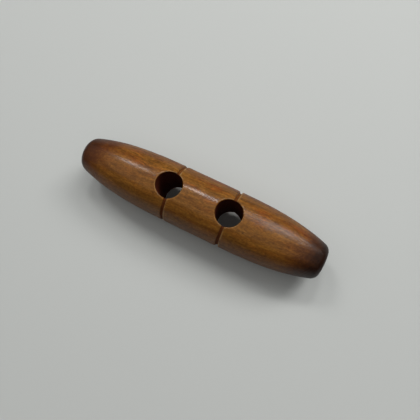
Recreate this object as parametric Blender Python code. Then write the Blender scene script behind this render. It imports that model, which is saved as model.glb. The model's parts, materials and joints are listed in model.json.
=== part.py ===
"""Two-hole toggle button of the kind sewn on a coat, turned and drilled from one piece of wood.

The toggle lies along X and rests on z = 0, with its two thread holes upright. Its outline swells from
two flat ends to a nearly straight middle. A narrow ring groove crosses each hole, where the sewing
thread beds in as it passes round the body. Units are metres.
"""

import math

import bmesh
import bpy

# Outline of the turned body
LENGTH = 0.0600
MIDDLE_DIAMETER = 0.01368
END_DIAMETER = 0.00770         # where the outline would meet the end planes, before they are rounded over
TAPER_POWER = 3.63             # higher keeps the middle straight for longer
END_ROUNDING_LENGTH = 0.00115  # along the axis
END_ROUNDING_DEPTH = 0.00107   # towards the axis

# Thread holes, drilled across the axis, and the ring groove that crosses each of them
HOLE_DIAMETER = 0.00606
HOLE_SPACING = 0.01448
HOLES_OFFSET = 0.00019         # the pair of holes is drilled this far to the right of the middle
LEFT_GROOVE_INSET = 0.00060    # the left groove is cut this far from its hole's centre, towards the middle
GROOVE_WIDTH = 0.00080
GROOVE_FLOOR_WIDTH = 0.00035
GROOVE_DEPTH = 0.00045

# Fineness of the facets. The body's count is a multiple of four, so that it lies on a flat facet.
BODY_FACETS = 32
HOLE_FACETS = 32
TAPER_STATIONS = 9
ROUNDING_STATIONS = 5
CUTTER_OVERSHOOT = 0.002
SHARP_ANGLE = math.radians(30)

HALF_LENGTH = LENGTH / 2
SWELL = (MIDDLE_DIAMETER - END_DIAMETER) / 2
LEFT_HOLE = HOLES_OFFSET - HOLE_SPACING / 2
RIGHT_HOLE = HOLES_OFFSET + HOLE_SPACING / 2
LEFT_GROOVE = LEFT_HOLE + LEFT_GROOVE_INSET
RIGHT_GROOVE = RIGHT_HOLE
ROUNDING_START = HALF_LENGTH - END_ROUNDING_LENGTH


def clear_scene():
    for item in list(bpy.data.objects):
        bpy.data.objects.remove(item, do_unlink=True)


def radius_at(x):
    """Body radius at a distance x from the middle: the middle radius less a power of x."""
    return MIDDLE_DIAMETER / 2 - SWELL * (abs(x) / HALF_LENGTH) ** TAPER_POWER


def rounding_at(angle):
    """Point (x, radius) on the rounded end corner: a quarter ellipse that leaves the taper on its slope."""
    slope = -SWELL * TAPER_POWER / HALF_LENGTH * (ROUNDING_START / HALF_LENGTH) ** (TAPER_POWER - 1)
    lead_in = slope * END_ROUNDING_LENGTH * math.sin(angle) * math.cos(angle)
    radius = radius_at(ROUNDING_START) - END_ROUNDING_DEPTH * (1 - math.cos(angle)) + lead_in
    return ROUNDING_START + END_ROUNDING_LENGTH * math.sin(angle), radius


# The axis stands above the resting facet by that facet's distance from the axis.
MIDDLE_LAND_RADIUS = radius_at(min(-LEFT_GROOVE, RIGHT_GROOVE) - GROOVE_WIDTH / 2)
AXIS_HEIGHT = MIDDLE_LAND_RADIUS * math.cos(math.pi / BODY_FACETS)


def half_outline(groove):
    """Points (x, radius) from the inner lip of a groove to the rim of the flat end beyond it."""
    outer_lip = groove + GROOVE_WIDTH / 2
    points = [(groove - GROOVE_WIDTH / 2, MIDDLE_LAND_RADIUS)]
    for side in (-1, 1):
        x = groove + side * GROOVE_FLOOR_WIDTH / 2
        points.append((x, radius_at(x) - GROOVE_DEPTH))
    for step in range(TAPER_STATIONS):
        x = outer_lip + (ROUNDING_START - outer_lip) * step / TAPER_STATIONS
        points.append((x, radius_at(x)))
    for step in range(ROUNDING_STATIONS + 1):
        points.append(rounding_at(math.pi / 2 * step / ROUNDING_STATIONS))
    return points


def turned_body():
    """The whole outline, spun round the X axis and closed with the two flat ends."""
    left = [(-x, radius) for x, radius in reversed(half_outline(-LEFT_GROOVE))]
    outline = left + half_outline(RIGHT_GROOVE)
    # The outline starts half a facet off straight down, which puts a flat facet underneath.
    start = -math.pi / 2 + math.pi / BODY_FACETS
    bm = bmesh.new()
    verts = [bm.verts.new((x, radius * math.cos(start), radius * math.sin(start)))
             for x, radius in outline]
    edges = [bm.edges.new(pair) for pair in zip(verts, verts[1:])]
    bmesh.ops.spin(bm, geom=verts + edges, axis=(1, 0, 0), cent=(0, 0, 0), angle=2 * math.pi,
                   steps=BODY_FACETS, use_merge=True)
    bmesh.ops.edgeloop_fill(bm, edges=[edge for edge in bm.edges if edge.is_boundary])
    bmesh.ops.recalc_face_normals(bm, faces=bm.faces)
    mesh = bpy.data.meshes.new("toggle_body")
    bm.to_mesh(mesh)
    bm.free()
    mesh.shade_smooth()
    mesh.set_sharp_from_angle(angle=SHARP_ANGLE)
    body = bpy.data.objects.new("toggle_body", mesh)
    body.location.z = AXIS_HEIGHT
    bpy.context.collection.objects.link(body)
    return body


def hole_cutter(name, x):
    """An upright cylinder that reaches past the top and the underside of the body."""
    bm = bmesh.new()
    bmesh.ops.create_cone(bm, cap_ends=True, segments=HOLE_FACETS, radius1=HOLE_DIAMETER / 2,
                          radius2=HOLE_DIAMETER / 2, depth=MIDDLE_DIAMETER + 2 * CUTTER_OVERSHOOT)
    mesh = bpy.data.meshes.new(name)
    bm.to_mesh(mesh)
    bm.free()
    cutter = bpy.data.objects.new(name, mesh)
    cutter.location = (x, 0, AXIS_HEIGHT)
    cutter.hide_render = True
    cutter.display_type = "WIRE"
    bpy.context.collection.objects.link(cutter)
    return cutter


def drill(body, cutter):
    cut = body.modifiers.new(cutter.name, "BOOLEAN")
    cut.operation = "DIFFERENCE"
    cut.solver = "EXACT"
    cut.object = cutter


def lacquered_wood():
    """Honey-brown stained hardwood under a clear lacquer."""
    material = bpy.data.materials.new("lacquered_wood")
    material.use_nodes = True
    shader = material.node_tree.nodes["Principled BSDF"]
    shader.inputs["Base Color"].default_value = (0.36, 0.13, 0.03, 1)
    shader.inputs["Roughness"].default_value = 0.35
    shader.inputs["Metallic"].default_value = 0.0
    return material


def main():
    clear_scene()
    body = turned_body()
    body.data.materials.append(lacquered_wood())
    for name, x in (("left_hole_cutter", LEFT_HOLE), ("right_hole_cutter", RIGHT_HOLE)):
        drill(body, hole_cutter(name, x))


main()
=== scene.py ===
"""Wooden coat toggle: one turned and drilled piece, stained honey brown and lacquered.

The body is one closed surface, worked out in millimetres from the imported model's box and thread holes.
"""

import json
import math

import bmesh
import bpy
import numpy as np
from mathutils import Matrix, Vector


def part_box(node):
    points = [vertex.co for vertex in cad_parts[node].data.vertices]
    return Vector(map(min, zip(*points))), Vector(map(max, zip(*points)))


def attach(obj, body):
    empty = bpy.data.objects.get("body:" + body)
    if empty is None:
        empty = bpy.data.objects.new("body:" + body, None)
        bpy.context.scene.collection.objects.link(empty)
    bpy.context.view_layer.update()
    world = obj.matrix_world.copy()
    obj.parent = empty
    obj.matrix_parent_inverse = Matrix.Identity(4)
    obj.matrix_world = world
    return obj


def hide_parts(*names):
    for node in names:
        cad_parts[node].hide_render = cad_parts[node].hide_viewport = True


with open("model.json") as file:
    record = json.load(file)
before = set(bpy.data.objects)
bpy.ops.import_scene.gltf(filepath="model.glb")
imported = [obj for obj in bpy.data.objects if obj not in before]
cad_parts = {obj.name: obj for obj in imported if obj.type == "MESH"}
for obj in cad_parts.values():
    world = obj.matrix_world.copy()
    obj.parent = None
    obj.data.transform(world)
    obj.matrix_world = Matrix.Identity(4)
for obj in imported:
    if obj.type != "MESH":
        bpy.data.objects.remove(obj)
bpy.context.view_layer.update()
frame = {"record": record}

MM = 0.001  # metres in a millimetre

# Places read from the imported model, in millimetres
LOW, HIGH = (np.array(corner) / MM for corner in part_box("toggle_body"))
AXIS_HEIGHT = (LOW[2] + HIGH[2]) / 2
HALF_LENGTH = (HIGH[0] - LOW[0]) / 2
HOLE_BOXES = [hole["box_m"] for hole in frame["record"]["physics"]["openings"]]
LEFT_HOLE, RIGHT_HOLE = sorted((low[0] + high[0]) / 2 / MM for low, high in HOLE_BOXES)
LEFT_GROOVE_INSET = 0.60       # the left groove misses its hole's centre by this much
LEFT_GROOVE, RIGHT_GROOVE = LEFT_HOLE + LEFT_GROOVE_INSET, RIGHT_HOLE

# Outline of the turned body, in millimetres
FACET_ALLOWANCE = 0.046        # the turned surface stands this far outside the model's flats
MIDDLE_RADIUS = (HIGH[2] - LOW[2]) / 2 + FACET_ALLOWANCE
SWELL = 2.99                   # how much smaller the radius is at the ends
TAPER_POWER = 3.63
ROUNDING_LENGTH = 1.15
ROUNDING_DEPTH = 1.07
TAPER_END = HALF_LENGTH - ROUNDING_LENGTH

# Thread holes and ring grooves, in millimetres; the groove's half width is at half its depth
HOLE_RADIUS = 3.03
MOUTH_ROUNDING = 0.32
MOUTH_RADIUS = HOLE_RADIUS + MOUTH_ROUNDING
GROOVE_DEPTH = 0.45
GROOVE_HALF_WIDTH = 0.31
GROOVE_SQUARENESS = 6

# The patch of skin round each hole mouth, and how finely the surface is divided
PATCH_REACH = 3.9              # along the body, in millimetres
PATCH_SWING = math.radians(40)
GROOVE_ZONE = 1.20             # mesh lines run straight along the body round this close to a hole's centre
GROOVE_STEPS = 44
PATCH_SIDE_STEPS = 16
PATCH_SWING_STEPS = 48
PATCH_RADIAL_STEPS = 14
PATCH_GROWTH = 1.35            # how fast those steps grow away from the mouth
SQUEEZE_POWER = 1.5            # how late the lines away from the groove are squeezed
FLANK_STEPS = 44
MIDDLE_STEPS = 26
TAPER_STEPS = 50
ROUNDING_STEPS = 12
END_FACE_STEPS = 8
MOUTH_STEPS = 8
WALL_STEPS = 18
WELD_DISTANCE = 0.002 * MM
SWING_ROUNDS = 8               # enough for a swing to settle

# Where the matt cut wood takes over from the lacquer, in millimetres
WALL_MARGIN = 0.02
MATT_GROOVE_DEPTH = 0.30

# Painted highlights on the lip beside each groove and round each hole mouth, in millimetres
LIP_OFFSET = 0.50              # from a groove's centre to its right-hand lip
LIP_WIDTH = 0.16
MOUTH_LINE = 3.18              # radius of the painted highlight line round a hole
MOUTH_LINE_WIDTH = 0.10
MOUTH_HIGHLIGHT_SHARE = 0.50              # as a share of the painted highlight on a lip


# ---- Shape ----------------------------------------------------------------------------------------

def outline(x):
    """Radius of the turned body without its grooves: the middle radius less a power of x."""
    return MIDDLE_RADIUS - SWELL * (np.abs(x) / HALF_LENGTH) ** TAPER_POWER


def groove(x):
    """Depth of the ring grooves: the full depth over one plus a power of the distance from the groove."""
    return sum(GROOVE_DEPTH / (1 + (np.abs(x - centre) / GROOVE_HALF_WIDTH) ** GROOVE_SQUARENESS)
               for centre in (LEFT_GROOVE, RIGHT_GROOVE))


def unevenness(x, swing):
    """What turning and sanding leave on the radius: long waves of a few hundredths of a millimetre."""
    return (0.018 * np.sin(0.21 * x + 1.3) * np.cos(2 * swing + 0.6)
            + 0.010 * np.sin(0.47 * x + 0.4) * np.cos(3 * swing + 2.1)
            + 0.006 * np.sin(1.15 * x + 2.2 + np.cos(swing)))


def radius_at(x, swing):
    return outline(x) - groove(x) + unevenness(x, swing)


def skin(x, swing):
    """Points on the outer surface: the radius at x, swung round the axis from straight up."""
    radius = radius_at(x, swing)
    return np.stack([x, radius * np.sin(swing), radius * np.cos(swing)], axis=-1)


def ring_swings():
    """Swings once round the body: those over the holes, the far flank, underneath and the near flank."""
    over = np.linspace(-PATCH_SWING, PATCH_SWING, PATCH_SWING_STEPS + 1)
    flank = np.linspace(PATCH_SWING, math.pi - PATCH_SWING, FLANK_STEPS + 1)
    half = np.concatenate([over[:-1], flank[:-1]])
    return np.concatenate([half, half + math.pi, over[:1] + 2 * math.pi])


def band(stations, swings):
    """A grid of skin over the stations along the body and the swings round it."""
    return skin(*np.meshgrid(stations, swings, indexing="ij"))


def end_corner(side):
    """A rounded end and its flat face: a quarter ellipse that leaves the taper on its slope, then rings
    shrinking to the axis."""
    slope = -SWELL * TAPER_POWER / HALF_LENGTH * (TAPER_END / HALF_LENGTH) ** (TAPER_POWER - 1)
    bend = np.linspace(0, math.pi / 2, ROUNDING_STEPS + 1)
    lead_in = slope * ROUNDING_LENGTH * np.sin(bend) * np.cos(bend)
    rounded = outline(TAPER_END) - ROUNDING_DEPTH * (1 - np.cos(bend)) + lead_in
    shrink = np.linspace(1, 0, END_FACE_STEPS + 1)[1:]
    radius = np.append(rounded, rounded[-1] * shrink)[:, None]
    x = np.append(TAPER_END + ROUNDING_LENGTH * np.sin(bend), np.full_like(shrink, HALF_LENGTH))[:, None]
    swings = ring_swings()
    radius = radius + unevenness(side * TAPER_END, swings) * radius / radius[0]
    return np.stack([side * x + 0 * radius, radius * np.sin(swings), radius * np.cos(swings)], axis=-1)


def lines_across_groove():
    """Distances along the body from a hole's centre: even and fine near the groove, then growing."""
    fine = np.linspace(-GROOVE_ZONE, GROOVE_ZONE, GROOVE_STEPS + 1)
    share = np.linspace(0, 1, PATCH_SIDE_STEPS + 1)[1:]
    reach = PATCH_REACH - GROOVE_ZONE
    first = 2 * GROOVE_ZONE / GROOVE_STEPS * PATCH_SIDE_STEPS / reach
    coarse = GROOVE_ZONE + reach * (first * share + (1 - first) * share ** 2)
    return np.concatenate([-coarse[::-1], fine, coarse])


def patch_border():
    """Once round a patch: the offset along the body and the swing, and the turn round the hole's axis.

    A line that crosses a side near the groove keeps its offset, so it runs along the groove. Further
    out it is squeezed towards the groove, which spreads the lines over the mouth's quarter turn.
    """
    offset = lines_across_groove()
    squeeze = PATCH_REACH - MOUTH_RADIUS * math.cos(math.pi / 4)
    beyond = np.clip((np.abs(offset) - GROOVE_ZONE) / (PATCH_REACH - GROOVE_ZONE), 0, 1)
    along_turn = np.arccos((offset - np.sign(offset) * squeeze * beyond ** SQUEEZE_POWER) / MOUTH_RADIUS)
    swing = np.linspace(-PATCH_SWING, PATCH_SWING, PATCH_SWING_STEPS + 1)
    side_turn = np.linspace(-math.pi / 4, math.pi / 4, PATCH_SWING_STEPS + 1)
    right = np.stack([np.full_like(swing, PATCH_REACH), swing, side_turn])[:, :-1]
    far = np.stack([offset, np.full_like(offset, PATCH_SWING), along_turn])[:, :0:-1]
    half = np.concatenate([right, far], axis=1)
    other = half * [[-1], [-1], [1]] + [[0], [0], [math.pi]]
    return np.concatenate([half, other, half[:, :1]], axis=1)


def swing_at(x, across, up):
    """The swing where the skin at x is that far across. It is found by repeated division, because the
    radius varies a little with the swing. Up is 1 on top of the body and -1 underneath."""
    swing = np.arcsin(across / outline(x))
    for _ in range(SWING_ROUNDS):
        swing = np.arcsin(across / radius_at(x, swing if up > 0 else math.pi - swing))
    return swing


def mouth_radius(turn):
    """How far out the softened edge of a hole reaches: a circle with the slight waves of sanding by hand."""
    waves = 0.05 * np.sin(2 * turn + 0.8) + 0.03 * np.sin(5 * turn + 2.0) + 0.02 * np.sin(11 * turn)
    return MOUTH_RADIUS + waves


def mouth_patch(centre, up):
    """Skin from a patch's border in to the mouth. Each line runs straight in x and swing, and its steps
    grow outwards."""
    offset, swing, turn = patch_border()
    rim_x = centre + mouth_radius(turn) * np.cos(turn)
    rim_swing = swing_at(rim_x, mouth_radius(turn) * np.sin(turn), up)
    share = np.linspace(0, 1, PATCH_RADIAL_STEPS + 1)[:, None] ** PATCH_GROWTH
    x = rim_x + (centre + offset - rim_x) * share
    swing = rim_swing + (swing - rim_swing) * share
    return skin(x, swing if up > 0 else math.pi - swing)


def mouth_rounding(centre, up):
    """The softened edge of a hole: a parabola that starts along the skin and ends down the wall, steered
    by the sharp edge that it stands for."""
    turn = patch_border()[2]

    def on_skin(distance):
        x = centre + distance * np.cos(turn)
        swing = swing_at(x, distance * np.sin(turn), up)
        return skin(x, swing if up > 0 else math.pi - swing)

    start = on_skin(mouth_radius(turn))
    edge = on_skin(HOLE_RADIUS)
    end = edge - np.array([0, 0, up * MOUTH_ROUNDING])
    t = np.linspace(0, 1, MOUTH_STEPS + 1)[:, None, None]
    return start * (1 - t) ** 2 + edge * 2 * t * (1 - t) + end * t ** 2


def hole_wall(centre):
    """The drilled wall: straight lines from the top mouth's rounding to the one underneath."""
    top = mouth_rounding(centre, 1)[-1]
    foot = mouth_rounding(centre, -1)[-1]
    share = np.linspace(0, 1, WALL_STEPS + 1)[:, None, None]
    return top + (foot - top) * share


def body_grids():
    """Every grid of points that makes up the body."""
    ring = ring_swings()
    far_flank = ring[PATCH_SWING_STEPS:PATCH_SWING_STEPS + FLANK_STEPS + 1]
    grids = [band(np.linspace(LEFT_HOLE + PATCH_REACH, RIGHT_HOLE - PATCH_REACH, MIDDLE_STEPS + 1), ring)]
    for centre, side in ((LEFT_HOLE, -1), (RIGHT_HOLE, 1)):
        stations = centre + lines_across_groove()
        outer = np.linspace(centre + side * PATCH_REACH, side * TAPER_END, TAPER_STEPS + 1)
        grids += [band(stations, far_flank), band(stations, far_flank + math.pi), band(outer, ring)]
        grids += [end_corner(side), hole_wall(centre)]
        for up in (1, -1):
            grids += [mouth_patch(centre, up), mouth_rounding(centre, up)]
    return grids


def grid_quads(rows, columns, first):
    """Corner numbers of a grid's quads, its points being numbered row by row from first."""
    corner = first + np.arange(rows - 1)[:, None] * columns + np.arange(columns - 1)
    return np.stack([corner, corner + 1, corner + columns + 1, corner + columns], axis=-1).reshape(-1, 4)


def weld(grids, name):
    """One mesh from all the grids, raised to the axis, with their shared borders and poles merged."""
    firsts = np.cumsum([0] + [grid.shape[0] * grid.shape[1] for grid in grids])
    points = np.concatenate([grid.reshape(-1, 3) for grid in grids])
    quads = np.concatenate([grid_quads(*grid.shape[:2], first) for grid, first in zip(grids, firsts)])
    mesh = bpy.data.meshes.new(name)
    mesh.from_pydata(((points + [0, 0, AXIS_HEIGHT]) * MM).tolist(), [], quads.tolist())
    bm = bmesh.new()
    bm.from_mesh(mesh)
    bmesh.ops.remove_doubles(bm, verts=bm.verts, dist=WELD_DISTANCE)
    bmesh.ops.recalc_face_normals(bm, faces=bm.faces)
    bm.to_mesh(mesh)
    bm.free()
    mesh.shade_smooth()
    return mesh


def off_hole_axis(x, y):
    """Distance from the nearer hole's axis."""
    return np.minimum(np.hypot(x - LEFT_HOLE, y), np.hypot(x - RIGHT_HOLE, y))


def mark_surface(mesh):
    """Marks what the finish needs to know: how far each point is down a groove or a bore, and how strongly
    it gets the painted highlight on edges, all from 0 to 1. The faces that were cut into the wood and left
    matt get the second finish.

    The painted highlight on a lip is a bell curve of the distance to it, along the right-hand side of each
    groove and, more faintly, round each mouth."""
    points = np.empty(len(mesh.vertices) * 3, dtype=np.float32)
    mesh.vertices.foreach_get("co", points)
    x, y, _ = points.reshape(-1, 3).T / MM
    off_axis = off_hole_axis(x, y)
    past_lip = np.minimum(np.abs(x - LEFT_GROOVE - LIP_OFFSET), np.abs(x - RIGHT_GROOVE - LIP_OFFSET))
    # Painted highlight: a pale bell along the right-hand lip of each groove and a fainter line round each
    # mouth
    painted_edge_highlight = np.exp(-(past_lip / LIP_WIDTH) ** 2)
    painted_edge_highlight = np.maximum(painted_edge_highlight, MOUTH_HIGHLIGHT_SHARE * np.exp(-((off_axis - MOUTH_LINE) / MOUTH_LINE_WIDTH) ** 2))
    bore = np.clip((MOUTH_RADIUS - off_axis) / MOUTH_ROUNDING, 0, 1)
    for name, values in (("groove_depth", groove(x) / GROOVE_DEPTH), ("painted_edge_highlight", painted_edge_highlight), ("bore", bore)):
        mesh.attributes.new(name, "FLOAT", "POINT").data.foreach_set("value", values.astype(np.float32))
    centres = np.empty(len(mesh.polygons) * 3, dtype=np.float32)
    mesh.polygons.foreach_get("center", centres)
    x, y, _ = centres.reshape(-1, 3).T / MM
    cut = (off_hole_axis(x, y) < HOLE_RADIUS + WALL_MARGIN) | (groove(x) > MATT_GROOVE_DEPTH)
    mesh.polygons.foreach_set("material_index", cut.astype(np.int32))


# ---- Finish ---------------------------------------------------------------------------------------

HONEY = "#875720"              # stained early wood
CHESTNUT = "#6a3f12"           # stained late wood
AMBER = "#7f4012"              # where the stain took redder
FLECK = "#3a2110"              # rays and specks
RUSSET = "#54250c"             # where the spray on the ends starts
UMBER = "#190a05"              # where that spray is thickest
EDGE_HIGHLIGHT = "#a07c4c"               # painted highlight on the groove lips and hole mouths
GROOVE_STAIN_AND_SHADE = "#5a2c0c"             # sides and floors of the grooves: soaked stain with painted shade
BORE_STAIN_AND_SHADE = "#4c1d0b"               # drilled walls: soaked stain with painted shade


def linear(hex_colour):
    """A colour for a shader, from sRGB hex."""
    channels = [int(hex_colour[i:i + 2], 16) / 255 for i in (1, 3, 5)]
    return [c / 12.92 if c <= 0.04045 else ((c + 0.055) / 1.055) ** 2.4 for c in channels] + [1]


def add(tree, kind, inputs=None, **settings):
    """Adds a node with its settings and links. An input is given by name or number, as a value, as a
    socket, or as a node, which stands for the first output that it has in use."""
    node = tree.nodes.new("ShaderNode" + kind)
    for name, value in settings.items():
        setattr(node, name, value)
    for key, value in (inputs or {}).items():
        if isinstance(value, bpy.types.Node):
            value = next(output for output in value.outputs if output.enabled)
        if isinstance(value, bpy.types.NodeSocket):
            tree.links.new(value, node.inputs[key])
        else:
            node.inputs[key].default_value = value
    return node


def new_material(name):
    material = bpy.data.materials.new(name)
    material.use_nodes = True
    material.node_tree.nodes.clear()
    return material, material.node_tree


def millimetres(tree):
    """The place on the toggle in millimetres, from its axis and middle."""
    place = add(tree, "TexCoord").outputs["Object"]
    return add(tree, "Mapping", {"Vector": place, "Location": (0, 0, -AXIS_HEIGHT), "Scale": (1 / MM,) * 3})


def lacquered_beech():
    """Steamed beech, turned, stained honey brown and dipped in clear lacquer, its ends sprayed darker.

    The growth rings show as soft streaks along the middle and as arcs where the ends taper through them.
    Short dark ray flecks and fine pores break the colour up, the stain lies unevenly, and the lacquer
    follows the marks of the turning tool. The flanks carry painted shade, the far side a painted redder
    tone, and the groove lips and hole mouths a painted pale highlight.
    """
    material, tree = new_material("stained_lacquered_beech")
    mm = millimetres(tree)
    place = add(tree, "SeparateXYZ", {"Vector": mm})
    x, side = place.outputs["X"], place.outputs["Y"]

    # The grain wanders sideways by a millimetre or so over a couple of centimetres.
    drift = add(tree, "TexNoise", {"Vector": mm, "Scale": 0.09, "Detail": 1.0}).outputs["Color"]
    grain = add(tree, "VectorMath", {0: drift, 1: (0.0, 3.0, 3.0), 2: mm}, operation="MULTIPLY_ADD")

    # Growth rings 1.5 mm apart round a pith line that passes under the toggle, a little askew, and
    # streaks about 1 mm across and 9 mm long.
    pith = add(tree, "Mapping", {"Vector": grain, "Location": (0.0, 5.0, 12.0),
                                 "Rotation": (0.0, 0.06, 0.05)})
    rings = add(tree, "TexWave", {"Vector": pith, "Scale": 0.21, "Distortion": 4.0, "Detail": 3.0,
                                  "Detail Scale": 1.2}, wave_type="RINGS", rings_direction="X")
    lengthwise = add(tree, "Mapping", {"Vector": grain, "Scale": (0.11, 1.0, 1.0)})
    streaks = add(tree, "TexNoise", {"Vector": lengthwise, "Scale": 0.9, "Detail": 3.0, "Roughness": 0.6})
    late = add(tree, "MapRange", {"Value": streaks, "From Min": 0.3, "From Max": 0.7, "To Max": 0.65})
    late = add(tree, "Math", {0: rings.outputs["Fac"], 1: 0.35, 2: late}, operation="MULTIPLY_ADD")
    wood = add(tree, "Mix", {"Factor": late, "A": linear(CHESTNUT), "B": linear(HONEY)}, data_type="RGBA")

    # Redder stain in streaks a millimetre or two across, gathered into blotches. Its growth towards the far
    # side is a painted tone that stands in for that side's richer look under the light from behind.
    red = add(tree, "TexNoise", {"Vector": lengthwise, "Scale": 0.55, "Detail": 4.0, "Roughness": 0.7})
    red = add(tree, "MapRange", {"Value": red, "From Min": 0.45, "From Max": 0.64})
    blotch = add(tree, "TexNoise", {"Vector": mm, "Scale": 0.16, "Detail": 3.0, "Roughness": 0.6})
    blotch = add(tree, "MapRange", {"Value": blotch, "From Min": 0.38, "From Max": 0.62, "To Min": 0.1,
                                    "To Max": 0.8})
    # Painted light: a weight that grows towards the far side, tinting it redder and more streaked
    far = add(tree, "MapRange", {"Value": side, "From Min": -1.0, "From Max": 5.0, "To Min": 0.5,
                                 "To Max": 1.9})
    red = add(tree, "Math", {0: red, 1: blotch}, operation="MULTIPLY")
    red = add(tree, "Math", {0: red, 1: far}, operation="MULTIPLY")
    wood = add(tree, "Mix", {"Factor": red, "A": wood, "B": linear(AMBER)}, data_type="RGBA")

    # Pores about 0.25 mm wide and 0.5 mm long, a fainter mottle between them, and fibre lines 0.4 mm wide and
    # 4 mm long that the painted far-side weight brings out most on the far side. Both flanks are darkened as
    # painted shade.
    fine = add(tree, "Mapping", {"Vector": grain, "Scale": (0.5, 1.0, 1.0)})
    pores = add(tree, "TexNoise", {"Vector": fine, "Scale": 3.6, "Detail": 2.0, "Roughness": 0.7})
    mottle = add(tree, "TexNoise", {"Vector": mm, "Scale": 1.3, "Detail": 3.0, "Roughness": 0.6})
    lines = add(tree, "TexNoise", {"Vector": lengthwise, "Scale": 2.4, "Detail": 2.0, "Roughness": 0.6})
    # Painted shade: darker towards both flanks, away from the middle plane
    flank = add(tree, "Math", {0: side}, operation="ABSOLUTE")
    for value, start, end, at_start, at_end, share in ((pores, 0.3, 0.7, 0.68, 1.24, 1.0),
                                                       (mottle, 0.3, 0.7, 0.83, 1.14, 1.0),
                                                       (lines, 0.36, 0.64, 0.66, 1.22, far),
                                                       (flank, 3.5, 6.8, 1.0, 0.74, 1.0)):
        shade = add(tree, "MapRange", {"Value": value, "From Min": start, "From Max": end, "To Min": at_start,
                                       "To Max": at_end})
        wood = add(tree, "Mix", {"Factor": share, "A": wood, "B": shade}, data_type="RGBA",
                   blend_type="MULTIPLY")

    # Ray flecks about 0.3 mm wide and 1.2 mm long, and a few specks 0.3 mm across, where pin knots and
    # resin pockets were cut: only some of the cells hold one.
    cells = add(tree, "Mapping", {"Vector": grain, "Scale": (0.8, 3.1, 3.1)})
    for vector, scale, edge, heart, rarest, depth in ((cells, 1.0, 0.42, 0.12, 0.50, 0.4),
                                                      (mm, 0.33, 0.085, 0.03, 0.72, 0.8)):
        cell = add(tree, "TexVoronoi", {"Vector": vector, "Scale": scale, "Randomness": 1.0})
        pick = add(tree, "SeparateColor", {"Color": cell.outputs["Color"]})
        mark = add(tree, "MapRange", {"Value": cell, "From Min": edge, "From Max": heart})
        pick = add(tree, "MapRange", {"Value": pick, "From Min": rarest, "From Max": 0.95, "To Max": depth})
        mark = add(tree, "Math", {0: mark, 1: pick}, operation="MULTIPLY")
        wood = add(tree, "Mix", {"Factor": mark, "A": wood, "B": linear(FLECK)}, data_type="RGBA")

    # The sprayed ends: a ragged fade along x through russet to umber. It is deeper on the right, and that
    # extra depth is painted shade for the end turned away from the light. On the far side it reaches further
    # in at the left end, and a little less far at the right end.
    ragged = add(tree, "TexNoise", {"Vector": mm, "Scale": 0.40, "Detail": 5.0, "Roughness": 0.75})
    ragged = add(tree, "Math", {0: ragged, 1: 8.0, 2: -4.0}, operation="MULTIPLY_ADD")
    # The right end's deeper umber is painted shade on top of the real spray
    for sign, slant, start, end, deepest, colour in ((1, -0.12, 18.5, 27.5, 0.70, RUSSET),
                                                     (1, -0.12, 21.7, 29.5, 0.95, UMBER),
                                                     (-1, 0.45, 19.0, 27.5, 0.80, RUSSET),
                                                     (-1, 0.45, 23.0, 31.0, 0.78, UMBER)):
        out = add(tree, "Math", {0: x, 1: sign, 2: ragged}, operation="MULTIPLY_ADD")
        out = add(tree, "Math", {0: side, 1: slant, 2: out}, operation="MULTIPLY_ADD")
        fade = add(tree, "MapRange", {"Value": out, "From Min": start, "From Max": end, "To Max": deepest},
                   interpolation_type="SMOOTHSTEP")
        wood = add(tree, "Mix", {"Factor": fade, "A": wood, "B": linear(colour)}, data_type="RGBA")

    # The sides of the grooves darken, partly with stain and partly as painted shade, darkest on the near
    # side, and the lip beside each groove and the line round each hole carry a painted pale highlight, broken
    # here and there.
    # Partly painted shade: the colour darkens down the sides of the grooves
    groove_depth = add(tree, "Attribute", attribute_name="groove_depth").outputs["Fac"]
    groove_depth = add(tree, "MapRange", {"Value": groove_depth, "From Min": 0.2, "From Max": 0.7})
    wood = add(tree, "Mix", {"Factor": groove_depth, "A": wood, "B": groove_stain_and_shade(tree, side)},
               data_type="RGBA")
    # Painted highlight on the groove lips and round the hole mouths
    painted_edge_highlight = add(tree, "Attribute", attribute_name="painted_edge_highlight").outputs["Fac"]
    broken = add(tree, "TexNoise", {"Vector": mm, "Scale": 0.5, "Detail": 4.0, "Roughness": 0.6})
    broken = add(tree, "MapRange", {"Value": broken, "From Min": 0.38, "From Max": 0.60, "To Max": 0.85})
    painted_edge_highlight = add(tree, "Math", {0: painted_edge_highlight, 1: broken}, operation="MULTIPLY")
    wood = add(tree, "Mix", {"Factor": painted_edge_highlight, "A": wood, "B": linear(EDGE_HIGHLIGHT)}, data_type="RGBA")

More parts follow.
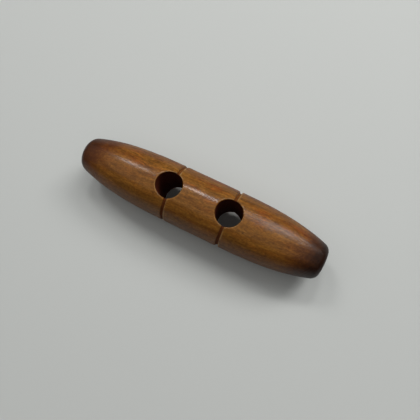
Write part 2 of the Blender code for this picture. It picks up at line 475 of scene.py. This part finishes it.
    # Tool marks 0.5 mm apart run slantwise through the lacquer in patches, pores dimple it, and it has
    # dried with an orange peel of 0.3 mm that grows towards the right.
    slant = add(tree, "Mapping", {"Vector": mm, "Rotation": (0.0, 0.0, 0.6)})
    marks = add(tree, "TexWave", {"Vector": slant, "Scale": 0.6, "Distortion": 2.5, "Detail": 2.0,
                                  "Detail Scale": 0.8}, bands_direction="X").outputs["Fac"]
    patches = add(tree, "TexNoise", {"Vector": mm, "Scale": 0.35, "Detail": 2.0})
    patches = add(tree, "MapRange", {"Value": patches, "From Min": 0.4, "From Max": 0.65, "To Max": 3.0})
    peel = add(tree, "TexNoise", {"Vector": mm, "Scale": 3.0, "Detail": 2.0})
    peeling = add(tree, "MapRange", {"Value": x, "From Min": 2.0, "From Max": 28.0, "To Min": 2.0,
                                     "To Max": 27.0})
    height = add(tree, "Math", {0: marks, 1: patches, 2: pores.outputs["Fac"]}, operation="MULTIPLY_ADD")
    wood_bump = add(tree, "Bump", {"Height": height, "Strength": 1.0, "Distance": 0.006 * MM})
    height = add(tree, "Math", {0: peel, 1: peeling, 2: height}, operation="MULTIPLY_ADD")
    lacquer_bump = add(tree, "Bump", {"Height": height, "Strength": 1.0, "Distance": 0.003 * MM})
    roughness = add(tree, "MapRange", {"Value": streaks, "From Min": 0.3, "From Max": 0.7, "To Min": 0.40,
                                       "To Max": 0.55})
    shader = add(tree, "BsdfPrincipled", {
        "Base Color": wood, "Roughness": roughness, "Specular IOR Level": 0.10, "Normal": wood_bump,
        "Coat Weight": 0.15, "Coat Roughness": 0.16, "Coat IOR": 1.8, "Coat Normal": lacquer_bump})
    add(tree, "OutputMaterial", {"Surface": shader})
    return material


def groove_stain_and_shade(tree, side):
    """The colour in the grooves: stain and painted shade, lightened towards the far side as painted light for
    the side that the light falls into.
    """
    painted_far_light = add(tree, "MapRange", {"Value": side, "From Min": 1.0, "From Max": 5.0, "To Max": 0.7})
    return add(tree, "Mix", {"Factor": painted_far_light, "A": linear(GROOVE_STAIN_AND_SHADE), "B": linear(CHESTNUT)}, data_type="RGBA")


def cut_beech_stain_and_shade():
    """The drilled walls and groove floors: open end grain that soaked up the stain and has no gloss, its
    colour darkened past the stain as painted shade, most down the bores.
    """
    material, tree = new_material("cut_beech_stain_and_painted_shade")
    mm = millimetres(tree)
    side = add(tree, "SeparateXYZ", {"Vector": mm}).outputs["Y"]
    # Painted shade: darker from the mouth down into the bore
    bore = add(tree, "Attribute", attribute_name="bore").outputs["Fac"]
    wood = add(tree, "Mix", {"Factor": bore, "A": groove_stain_and_shade(tree, side), "B": linear(BORE_STAIN_AND_SHADE)},
               data_type="RGBA")
    fibre = add(tree, "TexNoise", {"Vector": mm, "Scale": 2.5, "Detail": 4.0, "Roughness": 0.7})
    shade = add(tree, "MapRange", {"Value": fibre, "From Min": 0.3, "From Max": 0.7, "To Min": 0.7,
                                   "To Max": 1.3})
    wood = add(tree, "Mix", {"Factor": 1.0, "A": wood, "B": shade}, data_type="RGBA", blend_type="MULTIPLY")
    bump = add(tree, "Bump", {"Height": fibre, "Strength": 1.0, "Distance": 0.08 * MM})
    shader = add(tree, "BsdfPrincipled", {
        "Base Color": wood, "Roughness": 0.8, "Specular IOR Level": 0.15, "Normal": bump})
    add(tree, "OutputMaterial", {"Surface": shader})
    return material


def pale_floor():
    """Matt pale grey card, plain so that nothing on it draws the eye."""
    material, tree = new_material("pale_card_floor")
    shader = add(tree, "BsdfPrincipled", {"Base Color": linear("#bfbebb"), "Roughness": 0.9})
    add(tree, "OutputMaterial", {"Surface": shader})
    return material


# ---- Pieces ---------------------------------------------------------------------------------------

FLOOR_GAP = 0.02               # between the body's even outline and the floor, in millimetres


def make_toggle():
    mesh = weld(body_grids(), "turned_toggle")
    for material in (lacquered_beech(), cut_beech_stain_and_shade()):
        mesh.materials.append(material)
    mark_surface(mesh)
    toggle = bpy.data.objects.new("turned_toggle", mesh)
    bpy.context.scene.collection.objects.link(toggle)
    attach(toggle, "root")
    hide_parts("toggle_body")
    return toggle


def make_floor():
    half = 0.6
    height = (AXIS_HEIGHT - MIDDLE_RADIUS - FLOOR_GAP) * MM
    mesh = bpy.data.meshes.new("floor")
    corners = [(-half, -half, height), (half, -half, height), (half, half, height), (-half, half, height)]
    mesh.from_pydata(corners, [], [(0, 1, 2, 3)])
    mesh.materials.append(pale_floor())
    floor = bpy.data.objects.new("floor", mesh)
    bpy.context.scene.collection.objects.link(floor)


# ---- Camera and light -----------------------------------------------------------------------------

AIM = Vector((2.55, 0.0, AXIS_HEIGHT)) * MM
CAMERA_AZIMUTH = math.radians(38.95)
CAMERA_ELEVATION = math.radians(76.6)
CAMERA_DISTANCE = 84.3 * MM
CAMERA_ROLL = math.radians(-12.7)
LENS = 31.39

DAYLIGHT = "#fbffff"           # very slightly cool

# Name, two ends of the middle line in metres, width in metres and watts
LIGHTS = [("window_left", (-0.305, 0.156, 0.350), (-0.205, 0.194, 0.41), 0.08, 0.42),
          ("window_middle", (-0.106, 0.268, 0.40), (-0.066, 0.242, 0.42), 0.08, 0.35),
          ("window_right", (0.02, 0.25, 0.41), (0.12, 0.27, 0.38), 0.26, 0.46),
          ("window_far_right", (0.10, 0.31, 0.38), (0.26, 0.34, 0.28), 0.12, 0.86),
          ("fill_left", (-0.40, -0.30, 0.30), (-0.40, 0.30, 0.30), 0.50, 0.24),
          ("softbox", (-0.70, 0.00, 0.70), (0.70, 0.00, 0.70), 1.20, 2.9)]


def direction(azimuth, elevation):
    """Unit vector from the toggle. Azimuth 0 is towards -Y and grows towards +X."""
    return Vector((math.sin(azimuth) * math.cos(elevation), -math.cos(azimuth) * math.cos(elevation),
                   math.sin(elevation)))


def make_camera():
    data = bpy.data.cameras.new("camera")
    data.lens = LENS
    data.clip_start = 0.005
    camera = bpy.data.objects.new("camera", data)
    out = direction(CAMERA_AZIMUTH, CAMERA_ELEVATION)
    turned = out.to_track_quat("Z", "Y").to_matrix().to_4x4() @ Matrix.Rotation(CAMERA_ROLL, 4, "Z")
    camera.matrix_world = Matrix.Translation(AIM + out * CAMERA_DISTANCE) @ turned
    bpy.context.scene.collection.objects.link(camera)
    bpy.context.scene.camera = camera


def make_strip_light(name, start, end, width, power):
    """A soft rectangular light that runs between two points and faces the toggle."""
    start, end = Vector(start), Vector(end)
    data = bpy.data.lights.new(name, "AREA")
    data.shape = "RECTANGLE"
    data.size = (end - start).length
    data.size_y = width
    data.energy = power
    data.color = linear(DAYLIGHT)[:3]
    middle = (start + end) / 2
    back = (middle - AIM).normalized()
    along = (end - start).normalized()
    along = (along - back * along.dot(back)).normalized()
    turned = Matrix((along, back.cross(along), back)).transposed().to_4x4()
    light = bpy.data.objects.new(name, data)
    light.matrix_world = Matrix.Translation(middle) @ turned
    bpy.context.scene.collection.objects.link(light)


def make_world():
    """A faint even light from all round, and colours shown as they are, without a film curve."""
    world = bpy.data.worlds.new("studio")
    world.use_nodes = True
    background = world.node_tree.nodes["Background"]
    background.inputs["Color"].default_value = linear("#dfe4e8")
    background.inputs["Strength"].default_value = 0.02
    bpy.context.scene.world = world
    bpy.context.scene.view_settings.view_transform = "Standard"


make_camera()
make_toggle()
make_floor()
for light in LIGHTS:
    make_strip_light(*light)
make_world()
